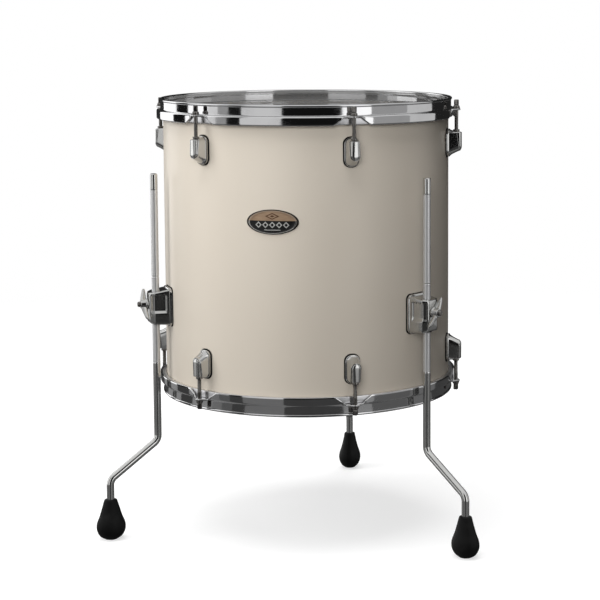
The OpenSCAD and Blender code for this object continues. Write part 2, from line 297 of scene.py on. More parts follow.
# Satin pearl lacquer: a warm ivory, a little lighter and darker in wide clouds, with fine
# flakes that change how rough it is, under a thin clear coat.
def lacquer():
    def paint(place):
        clouds, flakes = place.noise(0.12, 2), place.noise(0.0012, 2)
        mottle = 0.7 * clouds + 0.3 * flakes
        return {"Base Color": mottle.blend((0.72, 0.645, 0.545), (0.78, 0.715, 0.62)),
                "Roughness": 0.38 + 0.10 * flakes,
                "height": 0.000004 * flakes + 0.00001 * place.noise(0.01, 2)}
    return makeMaterial("pearlLacquer", {"Metallic": 0.09, "Specular IOR Level": 0.3, "Coat Weight": 0.2,
                                         "Coat Roughness": 0.28}, paint)


# Bare maple: grain that runs up the shell, and on the cut edges a dark glue line at
# every ply, which is a saw-tooth of the distance from the drum's axis.
def maple(plies=6, wall=0.007):
    def paint(place):
        x, y, _ = place.axes()
        depth = (x * x + y * y) ** 0.5 - (shellRadius * mm - wall)
        glue = (1 - (depth * (plies / wall)).fraction().step(0.0, 0.14)) * 0.6
        fine, broad = place.noise(0.004, 5, (1, 1, 0.06)), place.noise(0.03, 2, (1, 1, 0.15))
        grain = fine * 0.65 + broad * 0.35
        wood = grain.step(0.3, 0.72).blend((0.55, 0.36, 0.19), (0.78, 0.59, 0.38))
        return {"Base Color": glue.blend(wood, (0.20, 0.11, 0.05)), "Roughness": 0.42 + 0.2 * grain,
                "height": 0.00003 * grain}
    return makeMaterial("maplePly", {"Specular IOR Level": 0.4}, paint)


# Chrome plate: mirror metal, faintly wavy, with hazy patches from handling. rough is how
# dull it is at its cleanest, and wave the height of the waviness in metres.
def chrome(name, colour, rough, haze=0.06, wave=0.000012, spread=0.03):
    def paint(place):
        smudge = place.noise(spread, 4).step(0.42, 0.75)
        fine = place.noise(0.0015, 2)
        return {"Roughness": rough + haze * smudge + 0.02 * fine,
                "Base Color": smudge.blend(colour, tuple(0.93 * c for c in colour)),
                "height": wave * place.noise(0.02, 1)}
    return makeMaterial(name, {"Metallic": 1.0}, paint)


# Rubber: nearly black, rough, with a fine moulded grain and paler dusty patches
def rubber(name, colour, rough=0.62, grain=0.00006):
    def paint(place):
        dust = place.noise(0.02, 4).step(0.5, 0.8)
        fine = place.noise(0.0009, 3)
        return {"Base Color": dust.blend(colour, tuple(c + 0.006 for c in colour)),
                "Roughness": rough + 0.14 * fine, "height": grain * fine}
    return makeMaterial(name, {"Specular IOR Level": 0.2}, paint)


# Frosted polyester film: grey and partly clear, hazier in the middle where sticks strike
def film(name, clear):
    def paint(place):
        x, y, _ = place.axes()
        struck = 1 - ((x * x + y * y) ** 0.5).step(0.0, 0.13)
        haze = struck * (place.noise(0.02, 4) * 0.5 + place.noise(0.003, 2) * 0.2)
        return {"Base Color": haze.blend((0.26, 0.26, 0.255), (0.42, 0.42, 0.41)),
                "Roughness": 0.06 + 0.3 * haze, "Alpha": clear + 0.3 * haze, "height": 0.00002 * haze}
    return makeMaterial(name, {"Coat Weight": 0.3, "Coat Roughness": 0.04}, paint)


# Brushed or tumbled metal: dull, with short scratches
def dullMetal(name, colour, rough=0.34):
    def paint(place):
        scratch = place.noise(0.0012, 4, (1, 1, 0.15))
        return {"Base Color": scratch.blend(tuple(0.82 * c for c in colour), colour),
                "Roughness": rough + 0.16 * scratch, "height": 0.00001 * scratch}
    return makeMaterial(name, {"Metallic": 1.0}, paint)


# Leg: bright chrome, satin where it is knurled, which is between two heights
def legChrome(low, high):
    def paint(place):
        _, _, z = place.axes()
        knurled = z.step(low, low + 0.003) * (1 - z.step(high - 0.003, high))
        smudge = place.noise(0.03, 4).step(0.4, 0.75)
        return {"Base Color": knurled.blend((0.62, 0.62, 0.61), (0.68, 0.68, 0.685)),
                "Metallic": 1 - 0.35 * knurled, "Roughness": 0.08 + 0.05 * smudge + 0.1 * knurled}
    return makeMaterial("legChrome", {}, paint)


# Badge: x runs across and z up the oval. A ring number, the square root of the sum of the
# squares of x and z over the half sizes, splits bezel, silver line and field. The field is
# grained wood above and black below. On the black stand a chain of open lozenges and a
# fine line, and on the wood one wide open lozenge with a small solid one inside it.
def enamel(half, middle):
    def paint(place):
        x, _, z = place.axes()
        z = z - middle
        ring = ((x / half[0]) ** 2 + (z / half[1]) ** 2) ** 0.5

        # 0 in the middle of each lozenge and 1 on its edge, for lozenges at an even pitch
        def lozenge(pitch, width, height, at):
            across = ((x / pitch + 0.5).fraction() - 0.5) * pitch
            return across.size() / width + (z - at).size() / height

        def within(reach):
            return 1 - x.size().step(reach - 0.0004, reach)

        upper = z.step(0.0014, 0.0020)
        grain = place.noise(0.0022, 4, (0.2, 1, 1))
        wood = grain.blend((0.22, 0.145, 0.09), (0.40, 0.28, 0.185))
        field = upper.blend((0.006, 0.006, 0.006), wood)
        link = lozenge(0.0094, 0.0044, 0.0044, -0.0038)
        line = 1 - (z + 0.0106).size().step(0.0003, 0.0006)
        chain = (1 - link.step(0.9, 1.05)) * link.step(0.5, 0.64) * within(0.0232)
        marks = chain + line * within(0.0113)
        wide = lozenge(1.0, 0.0100, 0.0046, 0.0078)
        crest = (1 - wide.step(0.9, 1.05)) * wide.step(0.6, 0.74) + 1 - wide.step(0.28, 0.4)
        field = marks.blend(field, (0.42, 0.42, 0.40))
        field = crest.blend(field, (0.07, 0.03, 0.015))
        silver = ring.step(0.862, 0.875) * (1 - ring.step(0.915, 0.925))
        silver = silver * (1 - 0.75 * upper)
        colour = silver.blend(field, (0.50, 0.49, 0.46))
        colour = ring.step(0.925, 0.935).blend(colour, (0.018, 0.015, 0.012))
        return {"Base Color": colour, "Metallic": silver * 0.9, "Roughness": 0.30 - 0.08 * silver,
                "height": 0.0001 * marks + 0.0001 * crest}
    gloss = {"Specular IOR Level": 0.25, "Coat Weight": 0.08, "Coat Roughness": 0.12}
    return makeMaterial("badgeEnamel", gloss, paint)


finishes = {
    "lacquer": lacquer(),
    "maple": maple(),
    "hoop": chrome("hoopChrome", (0.64, 0.64, 0.645), 0.045),
    "lug": chrome("lugChrome", (0.56, 0.56, 0.55), 0.10, 0.08),
    "bracket": chrome("bracketChrome", (0.55, 0.55, 0.54), 0.10, 0.08),
    "rod": chrome("rodChrome", (0.21, 0.20, 0.19), 0.10, 0.08),
    "steel": dullMetal("zincSteel", (0.60, 0.60, 0.61)),
    "ring": dullMetal("headRing", (0.74, 0.74, 0.75), 0.26),
    "gasket": rubber("gasketRubber", (0.006, 0.006, 0.006), 0.6),
    "foot": rubber("footRubber", (0.003, 0.003, 0.003), 0.5),
    "nylon": rubber("sleeveNylon", (0.01, 0.01, 0.01), 0.4, 0.00002),
    "batter": film("batterFilm", 0.72),
    "resonant": film("resonantFilm", 0.5),
}
print("finishes made")

shellSizes = {"wall": 7.0, "innerCut": 4.5, "edgeFlat": 0.8, "outerCut": 1.7, "lacquerTurn": 0.6,
              "columns": 288}


# The wall's outline turned about the drum's axis: upright faces inside and out, and at
# each end a 45 degree cut inside, a narrow flat and a small cut outside.
def makeShell(s=shellSizes):
    inner, top, bottom = shellRadius - s["wall"], shellHigh[2], shellLow[2]
    flat = inner + s["innerCut"] + s["edgeFlat"]
    crest = inner + s["innerCut"]
    outline = soften([[inner, bottom + s["innerCut"]], [crest, bottom], [flat, bottom],
                      [shellRadius, bottom + s["outerCut"]], [shellRadius, top - s["outerCut"]],
                      [flat, top], [crest, top], [inner, top - s["innerCut"]]], 0.5, 4)

    # bare wood everywhere inside the lacquer's edge, which lies on the outer cut
    def bare(middles):
        return np.hypot(middles[:, 0], middles[:, 1]) < shellRadius - s["outerCut"] * s["lacquerTurn"]

    makePiece("drumShell", [(lathe(outline[:, 0], outline[:, 1], s["columns"]), True, True)],
              [finishes["lacquer"], finishes["maple"]], "drum", ["shell"], pick=bare)


headSizes = {"film": 0.4, "collar": 200.0, "skirt": 202.45, "skirtLow": 10.0, "ringRound": 1.2,
             "columns": 192}


# The film's outline turned about the axis: flat in the middle, bent over the bearing edge
# in a smooth collar, then straight down into its metal ring, which is a rounded square.
def makeHeads(s=headSizes):
    top = shellHigh[2]
    for end, place in (("batter", np.asarray), ("resonant", flipped)):
        low, high, _ = spot("batter_flesh_hoop")
        line = through([[60, top], [130, top], [190, top], [s["collar"], top + 0.02],
                        [201.6, top - 1.0], [s["skirt"], top - 3.4],
                        [s["skirt"], top - s["skirtLow"]]], 6)
        line = np.concatenate([[[0, top], [30, top]], line])
        way = np.gradient(line, axis=0)
        out = np.stack([-way[:, 1], way[:, 0]], -1) / np.linalg.norm(way, axis=1, keepdims=True)
        lower, upper = line + out * 0.04, line + out * s["film"]
        lower[0, 0] = upper[0, 0] = 0
        skin = np.concatenate([upper, lower[::-1]])
        makePiece(end + "Head", [(place(lathe(skin[:, 0], skin[:, 1], s["columns"])), False, True)],
                  finishes[end], "drum", [end + "_head_film"], 50)
        inner = s["skirt"] + s["film"] + 0.1
        ring = soften([[inner, low[2]], [high[0], low[2]], [high[0], high[2]], [inner, high[2]]],
                      s["ringRound"], 5)
        makePiece(end + "HeadRing", [(place(lathe(ring[:, 0], ring[:, 1], s["columns"])), True, True)],
                  finishes["ring"], "drum", [end + "_flesh_hoop"])


makeShell()
makeHeads()
print("shell and heads made")

lugs = [around(spot("tension_rod_top_%d" % n)[2])[0] for n in range(1, 7)]  # azimuths
rodRing = around(spot("tension_rod_top_1")[2])[1]
hoopLow, hoopHigh, _ = spot("batter_hoop")
hoopSizes = {"thick": 2.3, "inside": 203.5, "bead": 2.0, "beadShift": 1.6, "stepDrop": 15.0,
             "foldStart": 208.15, "foldLength": 2.8, "earEnd": 5.8, "earSlope": 0.845,
             "foldFrom": 11.5, "foldTo": 17.0, "gapFrom": 14.5, "gapTo": 26.0, "least": 3.3,
             "stations": 96}


# The hoop's closed section, carried round the drum. Rolled lip, upright wall and step are
# the same all round. From the step a flange of a given length bends down: fully between
# the lugs, where it is the skirt, and not at all at a lug, where it is a flat ear that
# narrows to a round end. The flange's length shrinks smoothly beside each ear.
def hoopGrid(s=hoopSizes):
    w = np.linspace(-1, 1, s["stations"], endpoint=False)
    offset = 30 * (0.42 * w + 0.58 * w ** 3)
    azimuth = (np.array(lugs)[:, None] + offset).ravel()
    v = np.tile(np.abs(np.radians(offset)) * rodRing, len(lugs))
    full = hoopHigh[2] - hoopLow[2] - s["stepDrop"] + 0.4
    turn = math.atan(s["earSlope"])
    corner = s["earEnd"] * math.sin(turn)
    ear = np.where(v < corner, np.sqrt(np.maximum(s["earEnd"] ** 2 - v ** 2, 0)),
                   s["earEnd"] * math.cos(turn) - s["earSlope"] * (v - corner))
    ear = ear + rodRing - s["foldStart"] - s["thick"] / 2
    share = np.clip((v - s["gapFrom"]) / (s["gapTo"] - s["gapFrom"]), 0, 1)
    skirt = s["least"] + (full - s["least"] - s["thick"] / 2) * share
    length = np.maximum(np.maximum(ear, skirt), s["least"])
    length = (np.roll(length, 1) + 2 * length + np.roll(length, -1)) / 4
    fold = pi / 2 * ease(v, s["foldFrom"], s["foldTo"])[:, None]

    # along the flange's middle line, a fold of even curvature and then a straight run
    t = np.concatenate([np.linspace(0, 1, 7), np.linspace(1.15, 2, 7)])
    rest = (t - 1) * (length[:, None] - s["foldLength"])
    run = np.where(t <= 1, t * s["foldLength"], s["foldLength"] + rest)
    bent = np.minimum(run, s["foldLength"])
    angle = fold * bent / s["foldLength"]
    straight = run - bent
    middle = np.stack([s["foldStart"] + bent * np.sinc(angle / pi) + straight * np.cos(fold),
                       rimHeight - s["stepDrop"] - s["thick"] / 2
                       - bent * np.sin(angle / 2) * np.sinc(angle / 2 / pi) - straight * np.sin(fold)], -1)
    normal = np.stack([np.sin(angle), np.cos(angle)], -1) * s["thick"] / 2
    b = np.linspace(0, pi, 7)[1:-1]
    ahead = np.stack([np.cos(angle[:, -1:]), -np.sin(angle[:, -1:])], -1) * s["thick"] / 2
    tip = middle[:, -1:] + normal[:, -1:] * np.cos(b)[:, None] + ahead * np.sin(b)[:, None]

    step, top = rimHeight - s["stepDrop"], rimHeight - s["bead"]
    a = np.radians(np.linspace(217, -69, 20))
    lip = np.stack([s["inside"] + s["beadShift"] + s["bead"] * np.cos(a), top + s["bead"] * np.sin(a)], -1)
    outer = s["inside"] + s["thick"]
    wall = soften([[outer, top - 4], [outer, step], [s["foldStart"], step]], 1.6, 6, closed=False)[1:-1]
    under = soften([[s["foldStart"], step - s["thick"]], [s["inside"], step - s["thick"]],
                    [s["inside"], top - 4]], 0.8, 5, closed=False)
    fixed = [np.broadcast_to(part, (len(v), *part.shape)) for part in (lip, wall, under)]
    flange = [middle + normal, tip, (middle - normal)[:, ::-1]]
    section = np.concatenate([fixed[0], fixed[1], *flange, fixed[2]], 1)
    a = np.radians(azimuth)[:, None]
    return np.stack([section[..., 0] * np.sin(a), -section[..., 0] * np.cos(a), section[..., 1]], -1)


for end, grid in (("batter", hoopGrid()), ("resonant", flipped(hoopGrid()))):
    makePiece(end + "Hoop", [(grid, True, True)], finishes["hoop"], "drum", [end + "_hoop"],
              40)
print("hoops made")

_, lugHigh, lugMiddle = spot("lug_top_2")
lugZ = lugMiddle[2]
lugNose = max(lugHigh[0], lugHigh[1])
lugSizes = {"width": 20.0, "height": 39.0, "corner": 8.5, "spine": 10.0, "pad": 1.5, "plate": 3.3,
            "noseWidth": 15.0, "noseTop": 15.8, "noseLow": -11.0, "noseRound": 7.4, "noseCorner": 2.2,
            "lipLow": 2.2, "lipHigh": 6.2}


# Pushes an outline's points (tangent, height) inwards by a share of the way to its spine,
# the upright line through its middle between low and high.
def shrink(outline, share, low, high):
    spine = np.stack([0 * outline[:, 0], np.clip(outline[:, 1], low, high)], -1)
    return outline + (spine - outline) * share


# A stack of matching outlines, each at its own distance outwards: a base plate that
# follows the shell, flanks that slope in to a narrower nose with a round lower end, a lip
# that stands deeper at the rod's end, and a barrel-shaped face between the lips.
def lugGrid(s=lugSizes):
    base = roundedOutline(s["width"], s["height"] / 2, -s["height"] / 2, s["corner"], s["corner"])
    nose = roundedOutline(s["noseWidth"], s["noseTop"], s["noseLow"], s["noseCorner"], s["noseRound"])
    ends = -s["spine"], s["spine"]
    seat = shellRadius + s["pad"]
    rings = []

    def add(outline, reach):
        rings.append(np.stack([np.broadcast_to(reach, len(outline)), outline[:, 0], outline[:, 1]], -1))

    def onSeat(outline, rise):
        add(outline, np.sqrt(seat ** 2 - outline[:, 0] ** 2) + rise)

    onSeat(shrink(base, 1, *ends), 0)
    onSeat(base, 0)
    onSeat(base, s["plate"] - 1.0)
    onSeat(shrink(base, 0.05, *ends), s["plate"] - 0.25)
    edge = shrink(base, 0.12, *ends)
    onSeat(edge, s["plate"])
    rise = (nose[:, 1] - s["noseLow"]) / (s["noseTop"] - s["noseLow"])
    lip = lugNose - s["lipLow"] - (s["lipHigh"] - s["lipLow"]) * rise ** 0.8
    foot = np.sqrt(seat ** 2 - edge[:, 0] ** 2) + s["plate"]
    for t in (0.12, 0.3, 0.5, 0.7, 0.86, 0.95):
        add(edge + (nose - edge) * t, foot + (lip - 0.5 - foot) * t ** 1.25)
    spine = s["noseLow"] + 7, s["noseTop"] - 2
    for share, rise in ((0, 0), (0.03, 0.45), (0.08, 0.62), (0.13, 0.45), (0.16, 0)):
        add(shrink(nose, share, *spine), lip + rise)
    for t in (0.05, 0.12, 0.21, 0.33, 0.48, 0.64, 0.82, 1.0):
        dome = (1 - (1 - t) ** 3) ** (1 / 3)
        add(shrink(nose, 0.16 + 0.84 * t, *spine), lip + (lugNose - lip) * dome)
    return np.stack(rings) + [0, 0, lugZ]


# A rounded plate that follows the shell, at height z: a stack of outlines, each shrunk by a
# share towards its spine and raised by its own distance off the lacquer.
def curvedPlate(width, height, corner, steps, spine, z):
    base = roundedOutline(width, height / 2, -height / 2, corner, corner)
    rings = []
    for share, rise in steps:
        v, up = shrink(base, share, -spine, spine).T
        rings.append(np.stack([np.sqrt((shellRadius + rise) ** 2 - v ** 2), v, up + z], -1))
    return np.stack(rings)


# The thin pad under each lug, a little wider than the lug all round
def gasketGrid(s=lugSizes, margin=1.2, gap=0.05):
    thick = s["pad"]
    steps = ((1, gap), (0, gap), (0, thick - 0.5), (0.03, thick - 0.1), (0.06, thick), (1, thick))
    return curvedPlate(s["width"] + 2 * margin, s["height"] + 2 * margin, s["corner"] + margin, steps,
                       s["height"] / 4, lugZ)


rodSizes = {"radius": 2.75, "pitch": 1.0, "depth": 0.38, "threadFrom": 566.5, "threadTo": 586.0,
            "collar": 4.75, "square": 3.0, "washer": 1.4, "columns": 28}
rodLow, rodHigh, _ = spot("tension_rod_top_1")
stepZ = spot("rod_washers")[1][2] - rodSizes["washer"]  # top of the hoop's ears


# A tension rod by heights: plain, then a thread whose radius falls by depth times half of
# 1 + cos(turns - angle), plain again, a domed collar, and a key head whose section is the
# square |x|^8 + |y|^8 = 1, rounded over at its top.
def rodGrid(turn, s=rodSizes):
    angle = np.arange(s["columns"]) / s["columns"] * 2 * pi
    base = stepZ + s["washer"]
    z = np.arange(s["threadFrom"], s["threadTo"], s["pitch"] / 6)
    fade = ease(z, s["threadFrom"], s["threadFrom"] + 1) * (1 - ease(z, s["threadTo"] - 2, s["threadTo"]))
    wave = 0.5 + 0.5 * np.cos(2 * pi * z[:, None] / s["pitch"] - angle)
    thread = s["radius"] - s["depth"] * fade[:, None] * wave
    low = rodLow[2]
    lower = np.array([[0, low], [s["radius"] - 0.6, low], [s["radius"], low + 0.8],
                      [s["radius"], s["threadFrom"] - 0.2]])
    collar = soften([[s["radius"], base], [s["collar"], base], [s["collar"] - 0.15, base + 1.5],
                     [3.7, base + 3.1], [2.9, base + 3.4]], 0.7, 5, closed=False)
    upper = np.concatenate([[[s["radius"], s["threadTo"] + 0.2], [s["radius"], base]], collar[1:]])
    square = 1 / (np.abs(np.cos(angle)) ** 8 + np.abs(np.sin(angle)) ** 8) ** (1 / 8)
    top = rodHigh[2]
    heads = np.array([[2.75, base + 3.5], [2.95, base + 3.8], [s["square"], base + 4.4],
                      [s["square"], top - 0.9], [s["square"] - 0.25, top - 0.35],
                      [s["square"] - 0.8, top], [1.2, top], [0, top]])
    even = np.ones(len(angle))
    radius = np.concatenate([lower[:, :1] * even, thread, upper[:, :1] * even, heads[:, :1] * square])
    height = np.concatenate([lower[:, 1], z, upper[:, 1], heads[:, 1]])
    return lathe(radius, height, s["columns"], rodRing, turn)


# A small turned part: a rounded outline of (radius, height above z) about a rod's axis
def turnedPart(outline, z):
    line = soften(np.array(outline) + [0, z], 0.4, 4)
    return lathe(line[:, 0], line[:, 1], 40, rodRing)


lug = lugGrid()
washer = turnedPart([[3.1, 0], [5.35, 0], [5.2, 1.0], [4.7, 1.4], [3.1, 1.4]], stepZ)
nut = turnedPart([[2.6, -12], [4.3, -12], [4.3, 1.2], [4.75, 1.5], [4.75, 2.2], [4.0, 3.1], [2.6, 3.1]],
                 lugZ + lugSizes["noseTop"])
gasket = gasketGrid()
ends = {"top": np.asarray, "bottom": flipped}
for end, place in ends.items():
    for n, azimuth in enumerate(lugs, 1):
        name = "%s_%d" % (end, n)
        rod = rodGrid(math.radians(37 * n + 12))  # each head stopped at its own angle
        makePiece("lug_" + name, [(place(turned(lug, azimuth)), False, True)], finishes["lug"],
                  "drum", ["lug_" + name], 28)
        makePiece("rod_" + name, [(place(turned(rod, azimuth)), False, True)], finishes["rod"],
                  "rod_" + name, ["tension_rod_" + name], 40)
for name, grid, wrap, finish, node, slotName in (
        ("lugGaskets", gasket, False, "gasket", "lug_gaskets", "gasket_rubber"),
        ("swivelNuts", nut, True, "rod", "swivel_nuts", "rod_chrome"),
        ("rodWashers", washer, True, "rod", "rod_washers", "rod_chrome")):
    copies = [(place(turned(grid, azimuth)), wrap, True) for place in ends.values() for azimuth in lugs]
    makePiece(name, copies, finishes[finish], "drum", [node])
print("lugs and rods made")

legSizes = {"radius": 5.25, "bendRadius": 14.0, "bendHigh": 133.4, "bendLow": 84.1, "end": 14.0,
            "knurlFrom": 243.0, "knurlTo": 489.0, "pitch": 2.4, "starts": 14, "depth": 0.24,
            "groove": 366.0, "grooveDeep": 0.55, "tip": [2.2, 1.1, 0.35, 0], "columns": 56}


# Moves a shape drawn with the leg's upper rod on the Z axis and its foot towards +X
def atLeg(points, axis, heading):
    x, y, z = np.moveaxis(points, -1, 0)
    return np.stack([axis[0] + x * math.cos(heading) - y * math.sin(heading),
                     axis[1] + x * math.sin(heading) + y * math.cos(heading), z], -1)


# A round bar carried down a path of straights and two bends. Along the middle its radius
# falls by depth times half of 1 + cos(starts * angle) * cos(height), a diamond knurl, with
# one plain groove, and its upper end is rounded off.
def legGrid(step, top, s=legSizes):
    bend = math.atan2(step, s["bendHigh"] - s["bendLow"])
    cut = s["bendRadius"] * math.tan(bend / 2)
    upper, lower = s["bendHigh"] + cut, s["bendLow"] - cut
    fine = np.arange(s["knurlTo"] + 3, s["knurlFrom"] - 3, -s["pitch"] / 4)
    turns = np.linspace(0, bend, 14)
    z = np.concatenate([[top, top, top - 0.25, top - 0.8, top - 1.8, top - 8], fine, [220, 180, upper]])
    x, tilt = 0 * z, 0 * z
    drop = s["bendRadius"] * np.sin(turns)
    z = np.concatenate([z, upper - drop, lower + drop[::-1], [lower - 8, s["end"], s["end"]]])
    x = np.concatenate([x, s["bendRadius"] * (1 - np.cos(turns)),
                        step - s["bendRadius"] * (1 - np.cos(turns[::-1])), [step] * 3])
    tilt = np.concatenate([tilt, turns, turns[::-1], [0] * 3])
    angle = np.arange(s["columns"]) / s["columns"] * 2 * pi
    zone = ease(z, s["knurlFrom"], s["knurlFrom"] + 2) * (1 - ease(z, s["knurlTo"] - 2, s["knurlTo"]))
    zone = zone * ease(np.abs(z - s["groove"]), 1.6, 2.6) * (tilt == 0)
    wave = 0.5 + 0.5 * np.cos(s["starts"] * angle) * np.cos(2 * pi * z / s["pitch"])[:, None]
    radius = s["radius"] - s["depth"] * zone[:, None] * wave
    radius = radius - (s["grooveDeep"] * (1 - ease(np.abs(z - s["groove"]), 0.5, 1.3)))[:, None]
    radius[:5] = s["radius"] - np.array([s["radius"], *s["tip"]])[:, None]
    radius[-1] = 0
    side = radius * np.cos(angle)
    return np.stack([x[:, None] + side * np.cos(tilt)[:, None], radius * np.sin(angle),
                     z[:, None] + side * np.sin(tilt)[:, None]], -1)


footSizes = {"outline": [[8.6, 0.5], [14.4, 4.6], [18.2, 11], [19.3, 17.5], [18.3, 24.5], [15.2, 32.5],
                         [12.4, 42], [10.0, 51], [8.9, 55.2]],
             "along": 1.07, "across": 0.88, "seam": 0.3, "columns": 96}


# A pear-shaped rubber foot: a smooth outline turned about the leg's end, wider along the
# leg's step than across it, with a thin moulding seam and a small recess in its tread.
def footGrid(step, s=footSizes):
    side = through(s["outline"], 6)
    line = np.concatenate([[[0, 1.2], [5.5, 1.2], [6.3, 0.3], [7.0, 0]], side,
                           [[8.3, 56.2], [7.4, 56.5], [5.6, 56.5], [5.3, 55.4], [5.2, 30], [0, 30]]])
    angle = np.arange(s["columns"]) / s["columns"] * 2 * pi
    skin = ease(line[:, 0], 8, 11)[:, None]
    radius = line[:, :1] + s["seam"] * skin * np.exp(-(np.sin(angle) / 0.05) ** 2)
    belly = ease(line[:, 0], 5.5, 12)[:, None]
    along, across = 1 + (s["along"] - 1) * belly, 1 + (s["across"] - 1) * belly
    return np.stack([step + radius * np.cos(angle) * along, radius * np.sin(angle) * across,
                     np.broadcast_to(line[:, 1:], radius.shape)], -1)


legFinish = legChrome(legSizes["knurlFrom"] * mm, legSizes["knurlTo"] * mm)
for side in sides:
    axis, foot = spot("leg_sleeve_" + side)[2], spot("foot_" + side)[2]
    across, along, _ = foot - axis
    step, heading = math.hypot(across, along), math.atan2(along, across)
    rod = atLeg(legGrid(step, spot("leg_" + side)[1][2]), axis, heading)
    rubberFoot = atLeg(footGrid(step), axis, heading)
    makePiece("leg_rod_" + side, [(rod, False, True)], legFinish, "leg_" + side, ["leg_" + side],
              50)
    makePiece("leg_foot_" + side, [(rubberFoot, False, True)], finishes["foot"], "leg_" + side,
              ["foot_" + side], 50)
print("legs made")

bracketSizes = {"halves": [18.0, 15.75, 9.0], "taper": 226.0, "face": 232.5, "pad": 1.2, "plate": 5.0,
                "flange": (38.0, 54.0, 7.5), "panel": (209.5, 230.0), "panelLow": -4.0, "panelHigh": 17.5,
                "panelDeep": 2.8, "sill": 4.5, "corner": 3.0, "edge": 1.3}


# The casting as a stack of rounded outlines, each at its own distance outwards. Its sides
# draw in slowly, and faster beyond the taper, its roof and floor close in towards the
# face, and a panel that stands on a sloping sill is sunk into each side.
def housingGrid(z, s=bracketSizes):
    bend = np.linspace(0, pi / 2, 6)
    reach = np.concatenate([[203.3, 206], np.arange(208.7, s["face"] - s["edge"], 0.5),
                            s["face"] - s["edge"] * (1 - np.sin(bend))])
    inset = np.concatenate([np.zeros(len(reach) - 6), s["edge"] * (1 - np.cos(bend))])
    half = np.interp(reach, [203, s["taper"], s["face"]], s["halves"]) - inset
    top = np.interp(reach, [207, 230.7, s["face"]], [25, 20.9, 20]) - inset
    bottom = np.interp(reach, [204, s["taper"], 230.9, s["face"]], [-25, -23.8, -21.9, -19.5]) + inset
    start, end = s["panel"]
    sunk = ease(reach, start, start + 0.9) * (1 - ease(reach, end - 0.9, end))
    rings = []
    for n, out in enumerate(reach):
        outline = roundedOutline(2 * half[n], top[n], bottom[n], s["corner"], s["corner"], 7, 44)
        v, up = outline.T
        depth = s["panelDeep"] * sunk[n] * np.clip((up - s["panelLow"]) / s["sill"] + 1, 0, 1)
        depth = depth * (1 - ease(up, s["panelHigh"] - 0.7, s["panelHigh"]))
        v = np.sign(v) * np.minimum(np.abs(v), half[n] - depth)
        rings.append(np.stack([0 * v + out, v, up], -1))
    for end, at in ((rings[0], 0), (rings[-1], len(rings) + 1)):
        rings.insert(at, end * [1, 0, 0] + [0, 0, 1] * np.clip(end, -10, 10))
    return np.stack(rings) + [0, 0, z]


eyeSizes = {"inner": 5.55, "outer": 8.3, "height": 12.0, "shank": 3.95, "from": 229.0, "end": 247.0,
            "pitch": 1.25, "depth": 0.5, "columns": 32}


# The eye bolt: a rounded ring about the leg, and a threaded shank that points outwards
def eyeGrids(ring, z, s=eyeSizes):
    inner, outer, low, high = s["inner"], s["outer"], z - s["height"] / 2, z + s["height"] / 2
    outline = soften([[inner, low], [outer, low], [outer, high], [inner, high]], 1.1, 5)
    out = np.arange(s["from"], s["end"] - 1.2, s["pitch"] / 6)
    angle = np.arange(s["columns"]) / s["columns"] * 2 * pi
    thread = s["shank"] - s["depth"] * (0.5 + 0.5 * np.cos(2 * pi * out[:, None] / s["pitch"] - angle))
    root = np.tile([[0], [s["shank"]]], s["columns"])
    tip = np.tile([[s["shank"] - 0.9], [0]], s["columns"])
    out = np.concatenate([[ring + 7, ring + 7], out, [s["end"], s["end"]]])
    shank = lathe(np.concatenate([root, thread, tip]), out, s["columns"])
    return [(lathe(outline[:, 0], outline[:, 1], 48, ring), True, True), (laid(shank, z), False, True)]


wingSizes = {"hub": [[4.05, 232.9], [7.4, 232.9], [7.4, 235.4], [6.5, 236.4], [5.7, 243.2], [4.05, 243.4]],
             "lobe": [[238.6, 2.0, 4.5, 2.9], [238.4, 6.5, 4.4, 2.4], [237.8, 11, 3.8, 2.0],
                      [237.1, 15.5, 3.2, 1.8], [236.5, 19.3, 2.7, 1.8], [236.2, 22.0, 2.0, 1.6],
                      [236.2, 23.3, 1.0, 0.9]],
             "turns": {"left": 35, "right": -35, "rear": 30}, "columns": 32}


# The wing nut: a tapered hub turned about the shank, and two lobes, each an oval section
# carried along a curve that leans inwards, given by distance, height and two half widths.
def wingGrids(turn, z, s=wingSizes):
    hub = soften(s["hub"], 0.9, 5)
    line = through(s["lobe"], 6)
    line = np.concatenate([line, [[line[-1, 0], line[-1, 1] + 0.25, 0, 0]]])
    way = np.gradient(line[:, :2], axis=0)
    way = way / np.linalg.norm(way, axis=1, keepdims=True)
    angle = np.arange(s["columns"]) / s["columns"] * 2 * pi
    wide = np.sign(np.cos(angle)) * np.abs(np.cos(angle)) ** 0.8 * line[:, 2:3]
    thick = np.sign(np.sin(angle)) * np.abs(np.sin(angle)) ** 0.8 * line[:, 3:4]
    lobe = np.stack([line[:, :1] + way[:, 1:] * wide, thick, line[:, 1:2] - way[:, :1] * wide], -1)
    grids = [(laid(lathe(hub[:, 0], hub[:, 1], 48), 0), True, True), (lobe, False, True),
             (lobe * [1, 1, -1], False, True)]
    a = math.radians(turn)

    def spun(p):
        return np.stack([p[..., 0], p[..., 1] * math.cos(a) - p[..., 2] * math.sin(a),
                         z + p[..., 1] * math.sin(a) + p[..., 2] * math.cos(a)], -1)

    return [(spun(grid), rows, columns) for grid, rows, columns in grids]


# The bracket's flange: a plate from low to high above the lacquer, with a rounded outer edge
def flangeGrid(z, s=bracketSizes):
    width, height, corner = s["flange"]
    low, high = s["pad"], s["plate"]
    steps = ((1, low), (0, low), (0, high - 1), (0.02, high - 0.4), (0.06, high - 0.1), (0.11, high),
             (1, high))
    return curvedPlate(width, height, corner, steps, height / 4, z)


